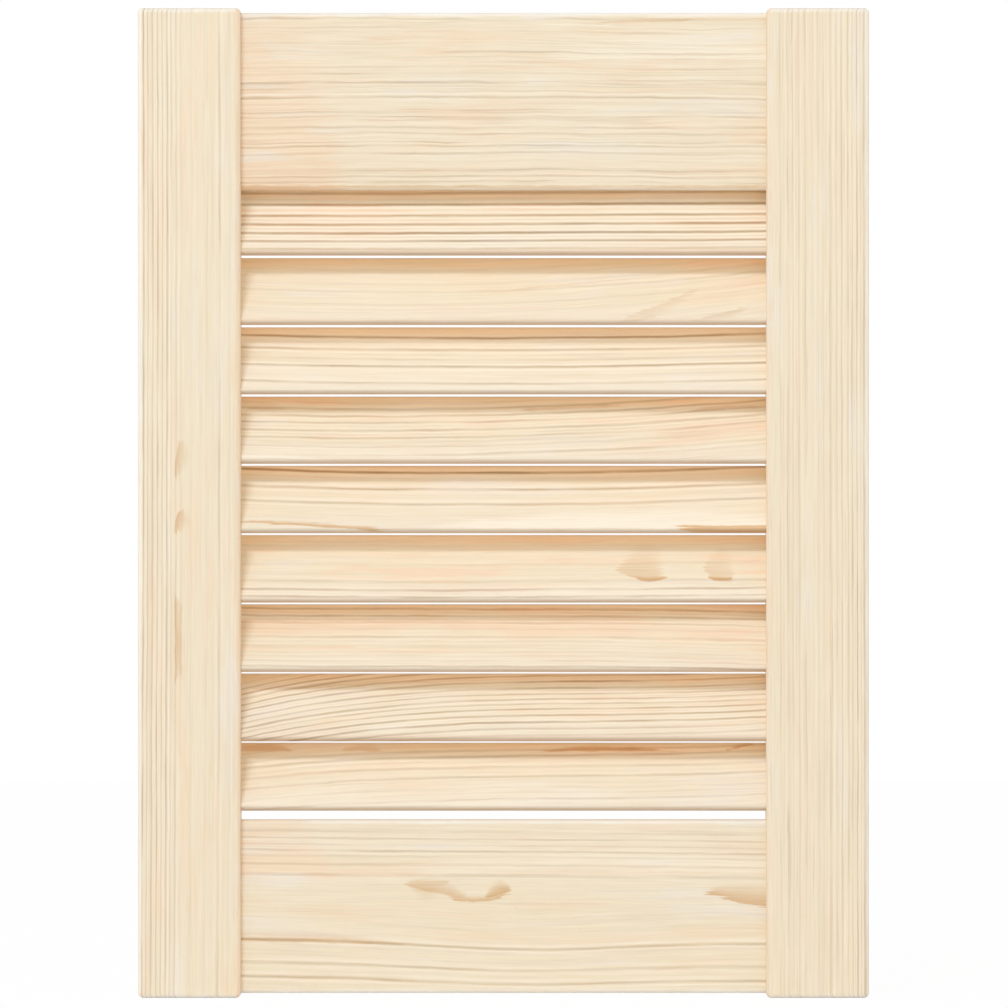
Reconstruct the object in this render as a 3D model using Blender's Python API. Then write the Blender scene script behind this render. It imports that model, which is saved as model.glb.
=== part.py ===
"""Fixed-louvre cabinet door in unfinished pine, modelled as the joiner's separate pieces.

Two stiles and two rails make the frame. Each rail is dowelled to both stiles. The slats have fully
rounded long edges, slope down towards the front, and are housed at both ends in slanted blind slots
that are routed into the stiles' inner edges. The top slat's upper edge lies in a cove in the top rail.

Metres, +Z up. The front faces -Y. The origin is at the bottom of the door, midway across its width
and its thickness.
"""

import math

import bmesh
import bpy
from mathutils import Matrix, Vector

# Whole door.
DOOR_WIDTH = 0.294
DOOR_HEIGHT = 0.398

# Stiles, the two upright boards.
STILE_WIDTH = 0.0413
STILE_THICKNESS = 0.021
STILE_EDGE_ROUND = 0.002
STILE_HORN = 0.0018  # each stile runs past the rails by this much, top and bottom

# Rails, the two cross boards.
TOP_RAIL_HEIGHT = 0.07135
BOTTOM_RAIL_HEIGHT = 0.0696
RAIL_RECESS = 0.004  # the rails' faces lie this far behind the stiles' faces, front and back
RAIL_EDGE_ROUND = 0.0015
SHOULDER_GAP = 0.0002  # glue line between a rail's end and the stile

# Slats.
SLAT_WIDTH = 0.030
SLAT_THICKNESS = 0.004
SLAT_TILT = math.radians(27.5)  # from upright, with the top edge leaning back
SLAT_PITCH = 0.0279  # aimed at; the slats are then spread evenly over the opening
TOP_SLAT_LAP = 0.0008  # the top slat's upper edge reaches this far up into a cove in the top rail
BOTTOM_SLAT_GAP = 0.0038  # vent between the bottom slat's nose and the bottom rail
HOUSING_DEPTH = 0.008  # how far the slots are routed into the stiles
HOUSING_CLEARANCE = 0.0002  # round a slat in its slot, and past its end

# Dowels, two in each corner joint.
DOWEL_DIAMETER = 0.006
DOWEL_LENGTH = 0.030
DOWEL_CHAMFER = 0.001
DOWEL_FLUTES = 12
FLUTE_DEPTH = 0.0003
FLUTE_SHARE = 0.35  # of the space from one flute to the next
DOWEL_EDGE_DISTANCE = 0.015  # from a rail's long edge to the nearer dowel's centre line
DOWEL_CLEARANCE = 0.0002  # round a dowel in its hole
DOWEL_END_GAP = 0.001  # glue space past each end of a dowel

# Facets.
EDGE_SEGMENTS = 3
NOSE_SEGMENTS = 12
HOLE_SEGMENTS = 24
SMOOTH_BELOW = math.radians(40)

# Places that follow from the sizes above.
OPENING_WIDTH = DOOR_WIDTH - 2 * STILE_WIDTH
STILE_CENTRE_X = (DOOR_WIDTH - STILE_WIDTH) / 2
RAIL_THICKNESS = STILE_THICKNESS - 2 * RAIL_RECESS
TOP_RAIL_CENTRE_Z = DOOR_HEIGHT - STILE_HORN - TOP_RAIL_HEIGHT / 2
BOTTOM_RAIL_CENTRE_Z = STILE_HORN + BOTTOM_RAIL_HEIGHT / 2
OPENING_TOP = TOP_RAIL_CENTRE_Z - TOP_RAIL_HEIGHT / 2
OPENING_BOTTOM = BOTTOM_RAIL_CENTRE_Z + BOTTOM_RAIL_HEIGHT / 2
SLAT_LENGTH = OPENING_WIDTH + 2 * (HOUSING_DEPTH - HOUSING_CLEARANCE)
SLAT_RISE = (SLAT_WIDTH - SLAT_THICKNESS) * math.cos(SLAT_TILT) + SLAT_THICKNESS

# Linear colours, roughness.
PINE_STILE = ((0.84, 0.70, 0.52), 0.55)
PINE_RAIL = ((0.85, 0.69, 0.51), 0.55)
PINE_SLAT = ((0.87, 0.71, 0.53), 0.50)
BEECH_DOWEL = ((0.66, 0.45, 0.27), 0.60)


def clear_scene():
    """Removes whatever the file held."""
    for old in list(bpy.data.objects):
        bpy.data.objects.remove(old)


def wood(name, finish):
    """A plain wood material with one colour and roughness."""
    colour, roughness = finish
    material = bpy.data.materials.new(name)
    material.use_nodes = True
    shader = material.node_tree.nodes["Principled BSDF"]
    shader.inputs["Base Color"].default_value = (*colour, 1.0)
    shader.inputs["Roughness"].default_value = roughness
    shader.inputs["Metallic"].default_value = 0.0
    return material


def mesh_from(bm, name, material=None):
    """Turns a bmesh into a mesh whose round faces are shaded smooth."""
    bmesh.ops.recalc_face_normals(bm, faces=bm.faces)
    mesh = bpy.data.meshes.new(name)
    bm.to_mesh(mesh)
    bm.free()
    mesh.shade_smooth()
    mesh.set_sharp_from_angle(angle=SMOOTH_BELOW)
    if material:
        mesh.materials.append(material)
    return mesh


def add_object(name, mesh, parent, location=(0, 0, 0), tilt=0.0):
    """Places a mesh in the door, turned about X by tilt."""
    made = bpy.data.objects.new(name, mesh)
    bpy.context.scene.collection.objects.link(made)
    made.parent = parent
    made.location = location
    made.rotation_euler = (tilt, 0, 0)
    return made


def cut_with(board, cutter):
    """Subtracts a cutter, which stays in the file as a wire guide."""
    cutter.hide_render = True
    cutter.display_type = "WIRE"
    boolean = board.modifiers.new("joinery", "BOOLEAN")
    boolean.operation = "DIFFERENCE"
    boolean.solver = "EXACT"
    boolean.object = cutter


def board_mesh(name, size, edge_round, rounded_axes, material):
    """A board centred on its origin. The edges that run along rounded_axes are rounded over."""
    bm = bmesh.new()
    bmesh.ops.create_cube(bm, size=1.0)
    bmesh.ops.scale(bm, vec=size, verts=bm.verts)
    chosen = []
    for edge in bm.edges:
        along = edge.verts[1].co - edge.verts[0].co
        if any(abs(along[axis]) > 0 for axis in rounded_axes):
            chosen.append(edge)
    bmesh.ops.bevel(
        bm,
        geom=chosen,
        offset=edge_round,
        segments=EDGE_SEGMENTS,
        profile=0.5,
        affect="EDGES",
        clamp_overlap=True,
    )
    return mesh_from(bm, name, material)


def slat_outline(margin=0.0):
    """The slat's section, as (y, z) points: straight faces and half-round edges, grown by a margin."""
    radius = SLAT_THICKNESS / 2 + margin
    reach = (SLAT_WIDTH - SLAT_THICKNESS) / 2
    points = []
    for end, start in ((reach, 0.0), (-reach, math.pi)):
        for step in range(NOSE_SEGMENTS + 1):
            angle = start + math.pi * step / NOSE_SEGMENTS
            points.append((radius * math.cos(angle), end + radius * math.sin(angle)))
    return points


def hole_outline():
    """A round hole's section, whose flats clear the dowel all the way round."""
    radius = (DOWEL_DIAMETER / 2 + DOWEL_CLEARANCE) / math.cos(math.pi / HOLE_SEGMENTS)
    angles = [2 * math.pi * step / HOLE_SEGMENTS for step in range(HOLE_SEGMENTS)]
    return [(radius * math.cos(angle), radius * math.sin(angle)) for angle in angles]


def dowel_outline():
    """A fluted dowel's section: lands on the full radius, with a V-shaped flute between two lands."""
    radius = DOWEL_DIAMETER / 2
    turn = 2 * math.pi / DOWEL_FLUTES
    points = []
    for flute in range(DOWEL_FLUTES):
        land_end = turn * (1 - FLUTE_SHARE)
        flute_middle = turn * (1 - FLUTE_SHARE / 2)
        for angle, depth in ((0.0, 0.0), (land_end, 0.0), (flute_middle, FLUTE_DEPTH)):
            around = turn * flute + angle
            points.append(((radius - depth) * math.cos(around), (radius - depth) * math.sin(around)))
    return points


def outline_face(bm, outline, x, placed):
    """A flat face on a (y, z) outline at x, moved by the matrix placed."""
    corners = [bm.verts.new(placed @ Vector((x, y, z))) for y, z in outline]
    return bm.faces.new(corners)


def extrude_face(bm, face, vector):
    """Extrudes a face along a vector, and gives back the face at the far end."""
    made = bmesh.ops.extrude_face_region(bm, geom=[face, *face.edges])["geom"]
    far_verts = [item for item in made if isinstance(item, bmesh.types.BMVert)]
    bmesh.ops.translate(bm, vec=vector, verts=far_verts)
    return next(item for item in made if isinstance(item, bmesh.types.BMFace))


def add_prism(bm, outline, x_low, x_high, placed):
    """A closed prism along X on a (y, z) outline, moved by the matrix placed."""
    face = outline_face(bm, outline, x_low, placed)
    along = placed.to_3x3() @ Vector((x_high - x_low, 0, 0))
    extrude_face(bm, face, along)


def slat_mesh(material):
    """One slat, upright and centred on its origin, running along X."""
    bm = bmesh.new()
    add_prism(bm, slat_outline(), -SLAT_LENGTH / 2, SLAT_LENGTH / 2, Matrix.Identity(4))
    return mesh_from(bm, "slat", material)


def dowel_mesh(material):
    """One fluted dowel along X, centred on its origin, with both ends chamfered."""
    bm = bmesh.new()
    end_share = 1 - 2 * DOWEL_CHAMFER / DOWEL_DIAMETER
    small = [(y * end_share, z * end_share) for y, z in dowel_outline()]
    face = outline_face(bm, small, -DOWEL_LENGTH / 2, Matrix.Identity(4))
    steps = (
        (DOWEL_CHAMFER, 1 / end_share),
        (DOWEL_LENGTH - 2 * DOWEL_CHAMFER, 1.0),
        (DOWEL_CHAMFER, end_share),
    )
    for length, growth in steps:
        face = extrude_face(bm, face, Vector((length, 0, 0)))
        bmesh.ops.scale(bm, vec=(1, growth, growth), verts=face.verts)
    return mesh_from(bm, "dowel", material)


def slat_heights():
    """Centre heights of the slats from the top one down, spread evenly over the opening."""
    top = OPENING_TOP + TOP_SLAT_LAP - SLAT_RISE / 2
    bottom = OPENING_BOTTOM + BOTTOM_SLAT_GAP + SLAT_RISE / 2
    spaces = max(1, round((top - bottom) / SLAT_PITCH))
    return [top + (bottom - top) * step / spaces for step in range(spaces + 1)]


def dowel_heights():
    """Centre heights of the dowels, two in the top rail and two in the bottom one."""
    heights = []
    for centre, rail_height in (
        (TOP_RAIL_CENTRE_Z, TOP_RAIL_HEIGHT),
        (BOTTOM_RAIL_CENTRE_Z, BOTTOM_RAIL_HEIGHT),
    ):
        reach = rail_height / 2 - DOWEL_EDGE_DISTANCE
        heights.append((centre + reach, centre - reach))
    return heights


def dowel_hole_reach():
    """How far each hole runs from the joint line, on either side."""
    return DOWEL_LENGTH / 2 + DOWEL_END_GAP


def add_slat_cutter(bm, x_low, x_high, height):
    """The room that a slat at this height takes, with its clearance."""
    placed = Matrix.Translation((0, 0, height)) @ Matrix.Rotation(-SLAT_TILT, 4, "X")
    add_prism(bm, slat_outline(HOUSING_CLEARANCE), x_low, x_high, placed)


def stile_cutter(name, side, parent):
    """The slots and dowel holes of one stile. side is -1 for the left stile and 1 for the right."""
    bm = bmesh.new()
    inner_x = side * OPENING_WIDTH / 2
    clear_x = inner_x - side * SLAT_THICKNESS  # the cutters start well clear of the board
    slot_end = inner_x + side * HOUSING_DEPTH
    hole_end = inner_x + side * dowel_hole_reach()
    for height in slat_heights():
        add_slat_cutter(bm, clear_x, slot_end, height)
    for pair in dowel_heights():
        for height in pair:
            add_prism(bm, hole_outline(), clear_x, hole_end, Matrix.Translation((0, 0, height)))
    return add_object(name, mesh_from(bm, name), parent)


def rail_cutter(name, heights, lapped_slats, parent):
    """The dowel holes in both ends of one rail, and a cove for each slat that laps it."""
    bm = bmesh.new()
    for height in lapped_slats:
        add_slat_cutter(bm, -SLAT_LENGTH / 2, SLAT_LENGTH / 2, height)
    for side in (-1, 1):
        joint_x = side * OPENING_WIDTH / 2
        hole_end = joint_x - side * dowel_hole_reach()
        clear_x = joint_x + side * DOWEL_DIAMETER
        for height in heights:
            add_prism(bm, hole_outline(), clear_x, hole_end, Matrix.Translation((0, 0, height)))
    return add_object(name, mesh_from(bm, name), parent)


def build_stiles(door):
    """Left and right stiles, rounded on every edge."""
    material = wood("stile_pine", PINE_STILE)
    size = (STILE_WIDTH, STILE_THICKNESS, DOOR_HEIGHT)
    for name, side in (("left_stile", -1), ("right_stile", 1)):
        mesh = board_mesh(name, size, STILE_EDGE_ROUND, (0, 1, 2), material)
        place = (side * STILE_CENTRE_X, 0, DOOR_HEIGHT / 2)
        stile = add_object(name, mesh, door, place)
        cut_with(stile, stile_cutter(name + "_cutter", side, door))


def build_rails(door):
    """Top and bottom rails, rounded along their length and square where they meet the stiles."""
    material = wood("rail_pine", PINE_RAIL)
    length = OPENING_WIDTH - 2 * SHOULDER_GAP
    top_dowels, bottom_dowels = dowel_heights()
    top_slat = slat_heights()[0]
    for name, height, centre_z, dowels, lapped_slats in (
        ("top_rail", TOP_RAIL_HEIGHT, TOP_RAIL_CENTRE_Z, top_dowels, [top_slat]),
        ("bottom_rail", BOTTOM_RAIL_HEIGHT, BOTTOM_RAIL_CENTRE_Z, bottom_dowels, []),
    ):
        size = (length, RAIL_THICKNESS, height)
        mesh = board_mesh(name, size, RAIL_EDGE_ROUND, (0,), material)
        rail = add_object(name, mesh, door, (0, 0, centre_z))
        cut_with(rail, rail_cutter(name + "_cutter", dowels, lapped_slats, door))


def build_slats(door):
    """The slats, numbered from the top down."""
    mesh = slat_mesh(wood("slat_pine", PINE_SLAT))
    for number, height in enumerate(slat_heights(), start=1):
        add_object(f"slat_{number}", mesh, door, (0, 0, height), -SLAT_TILT)


def build_dowels(door):
    """Two dowels in each corner, half in the rail and half in the stile."""
    mesh = dowel_mesh(wood("dowel_beech", BEECH_DOWEL))
    for row, pair in zip(("top", "bottom"), dowel_heights()):
        for column, side in (("left", -1), ("right", 1)):
            for place, height in zip(("upper", "lower"), pair):
                name = f"dowel_{row}_{column}_{place}"
                add_object(name, mesh, door, (side * OPENING_WIDTH / 2, 0, height))


def main():
    clear_scene()
    door = bpy.data.objects.new("louvred_door", None)
    bpy.context.scene.collection.objects.link(door)
    build_stiles(door)
    build_rails(door)
    build_slats(door)
    build_dowels(door)


main()
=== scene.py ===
"""Looks of a fixed-louvre cabinet door in unfinished pine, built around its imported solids.

The file is laid out as a Blender add-on. Each operator makes one group of pieces: stiles, rails, slats,
dowels and the stage. Boards are described in millimetres in their own frame, in which u runs along the
grain, v across the front face and w out of it.
"""

import math
from dataclasses import asdict, dataclass

import bmesh
import bpy
from bpy.props import FloatProperty, FloatVectorProperty, IntProperty, PointerProperty
from mathutils import Matrix, Vector


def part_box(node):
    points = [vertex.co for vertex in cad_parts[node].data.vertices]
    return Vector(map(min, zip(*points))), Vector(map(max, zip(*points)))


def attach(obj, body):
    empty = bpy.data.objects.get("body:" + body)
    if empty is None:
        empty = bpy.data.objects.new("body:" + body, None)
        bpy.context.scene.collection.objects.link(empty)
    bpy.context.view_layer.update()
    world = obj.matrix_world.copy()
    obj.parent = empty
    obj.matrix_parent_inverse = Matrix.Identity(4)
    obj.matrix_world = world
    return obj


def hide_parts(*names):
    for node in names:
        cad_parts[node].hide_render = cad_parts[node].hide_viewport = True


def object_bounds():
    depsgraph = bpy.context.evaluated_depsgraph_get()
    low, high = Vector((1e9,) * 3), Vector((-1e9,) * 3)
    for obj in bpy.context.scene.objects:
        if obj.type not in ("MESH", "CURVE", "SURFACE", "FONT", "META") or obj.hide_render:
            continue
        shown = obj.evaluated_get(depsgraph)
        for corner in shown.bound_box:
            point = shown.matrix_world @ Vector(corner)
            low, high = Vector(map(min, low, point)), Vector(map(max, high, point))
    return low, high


bl_info = {
    "name": "Louvred cabinet door",
    "version": (1, 0, 0),
    "blender": (4, 5, 0),
    "location": "View3D > Sidebar > Louvred door",
    "description": "Dresses the packed solids of a louvred cabinet door in pine",
    "category": "Object",
}

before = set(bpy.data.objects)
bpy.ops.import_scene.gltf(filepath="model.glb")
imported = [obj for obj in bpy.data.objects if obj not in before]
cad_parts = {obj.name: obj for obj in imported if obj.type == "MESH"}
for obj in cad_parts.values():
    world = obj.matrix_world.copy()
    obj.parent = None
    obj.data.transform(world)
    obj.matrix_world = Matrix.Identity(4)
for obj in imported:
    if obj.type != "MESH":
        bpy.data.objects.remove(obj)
CAD_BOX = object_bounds()
DOOR_CENTRE = (CAD_BOX[0] + CAD_BOX[1]) / 2

MILLIMETRE = 0.001
ACROSS, BACK, UP = Vector((1, 0, 0)), Vector((0, 1, 0)), Vector((0, 0, 1))
SLAT_COUNT = sum(name.startswith("slat_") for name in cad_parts)
DOWELS = sorted(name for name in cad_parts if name.startswith("dowel_"))

# Pine: lengths are in millimetres
TONES = (
    "early_wood", "blush_wood", "chalk_wood", "pale_wood", "worn_wood",
    "late_tint", "flame_tint", "shelter_tint", "nose_tint", "end_tint",
)
SWIRL = {  # the sockets of a swirl in the grain and their defaults
    "Swirl along": 0.0, "Swirl across": 0.0, "Swirl length": 20.0, "Swirl height": 10.0, "Swirl push": 0.0,
}
WHOLE_LENGTH = 900  # length of a flame that runs past both ends of any board
LEAST_FADE = 0.02  # the shortest way over which a flame fades, at its very ends
NOISE_STEPS = (17.3, 5.9, 3.1)  # how far each step of a board's seed moves its noise
RING_STEP = 11.0  # how many rings each step of a board's seed moves its growth rings
LINES_IN_A_RAMP = 6  # a ramp holds 32 stops, and a line takes five
RAMP_MARGIN = 2.0  # room in a ramp beyond the board's edge or its outermost line
PLAIN_LEVEL = 0.25  # level of plain wood in a ramp: lines lie above it and the pale wood beside them below
PALEST_AT = 1.15  # from the middle of a line of width 1 to the palest wood beside it
PAINTED_SHADE_BAND = (7.5, 13.0)  # places across a slat's front face between which painted shade turns its wood warm
PAINTED_LIGHT_BAND = (-13.0, -5.0)  # places across a slat's front face between which the painted light on its lower part ends
PAINTED_LIGHT_DEPTH = 0.45  # share of whitish wood where the painted light on a slat is strongest
NOSE_SHADE_REACH = 1.4  # how far the painted shade reaches in from a slat's round edge
HIDDEN_END = 5.0  # how far a rail's grain is taken to run on past its joint
DUCT_DEPTH = 0.25  # share of the latewood's colour that a resin duct takes
FIBRE_SWINGS = (0.09, 0.12, 0.17)  # how far fibres lift and lower red, green and blue
WOOD_SPECULAR = 0.35

# Shading and stage
SHARP_ANGLE = math.radians(40)  # edges that turn by more than this stay sharp
FLOOR_SIDES = 96
OVERHEAD = (0.25, 0.95)  # heights in the sky between which the fill falls to its share overhead
SENSOR_WIDTH = 36.0  # in mm
FAR_CLIP = 100.0  # in metres


@dataclass(frozen=True)
class Flame:
    """A flame in the grain, with one sharp edge from which its colour fades across the board.

    The sharp edge lies at across, at the flame's middle; tilt and bend lift it towards the ends, and
    skew leans the flame along the board. A negative fade runs down the board. The tone is tan, pale
    or blush.
    """

    along: float
    across: float
    length: float
    fade: float
    depth: float
    tilt: float = 0.0
    bend: float = 0.0
    skew: float = 0.0
    tone: str = "tan"


def band(across, fade, depth, tone="tan"):
    """A flame that runs the whole length of a board."""
    return Flame(along=0.0, across=across, length=WHOLE_LENGTH, fade=fade, depth=depth, tone=tone)


@dataclass(frozen=True)
class Grain:
    """How the grain of one board runs on its front face, in millimetres.

    A line climbs by rise, bow and twist times the first, second and third power of u / 100 mm. Strong
    latewood lines are (place across the face at mid-length, depth), and line_width widens them. A swirl
    pushes the lines below a point down: (along, across, length, height, push). Fine growth rings lie
    spacing apart and are ring_depth strong. Waviness bends the lines, jitter makes them crooked, fading
    makes their strength uneven and lean slants them through the board. Wear pales the arrises, as
    sanding wear and as painted highlight, and blush sets the strength of pinkish patches.
    """

    seed: int
    lines: tuple = ()
    rise: float = 0.0
    bow: float = 0.0
    twist: float = 0.0
    swirl: tuple = (0.0, 0.0, 20.0, 10.0, 0.0)
    flames: tuple = ()
    spacing: float = 2.2
    ring_depth: float = 0.12
    waviness: float = 0.35
    jitter: float = 0.4
    fading: float = 0.5
    lean: float = 0.55
    line_width: float = 1.0
    wear: float = 0.2
    blush: float = 1.4


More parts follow.
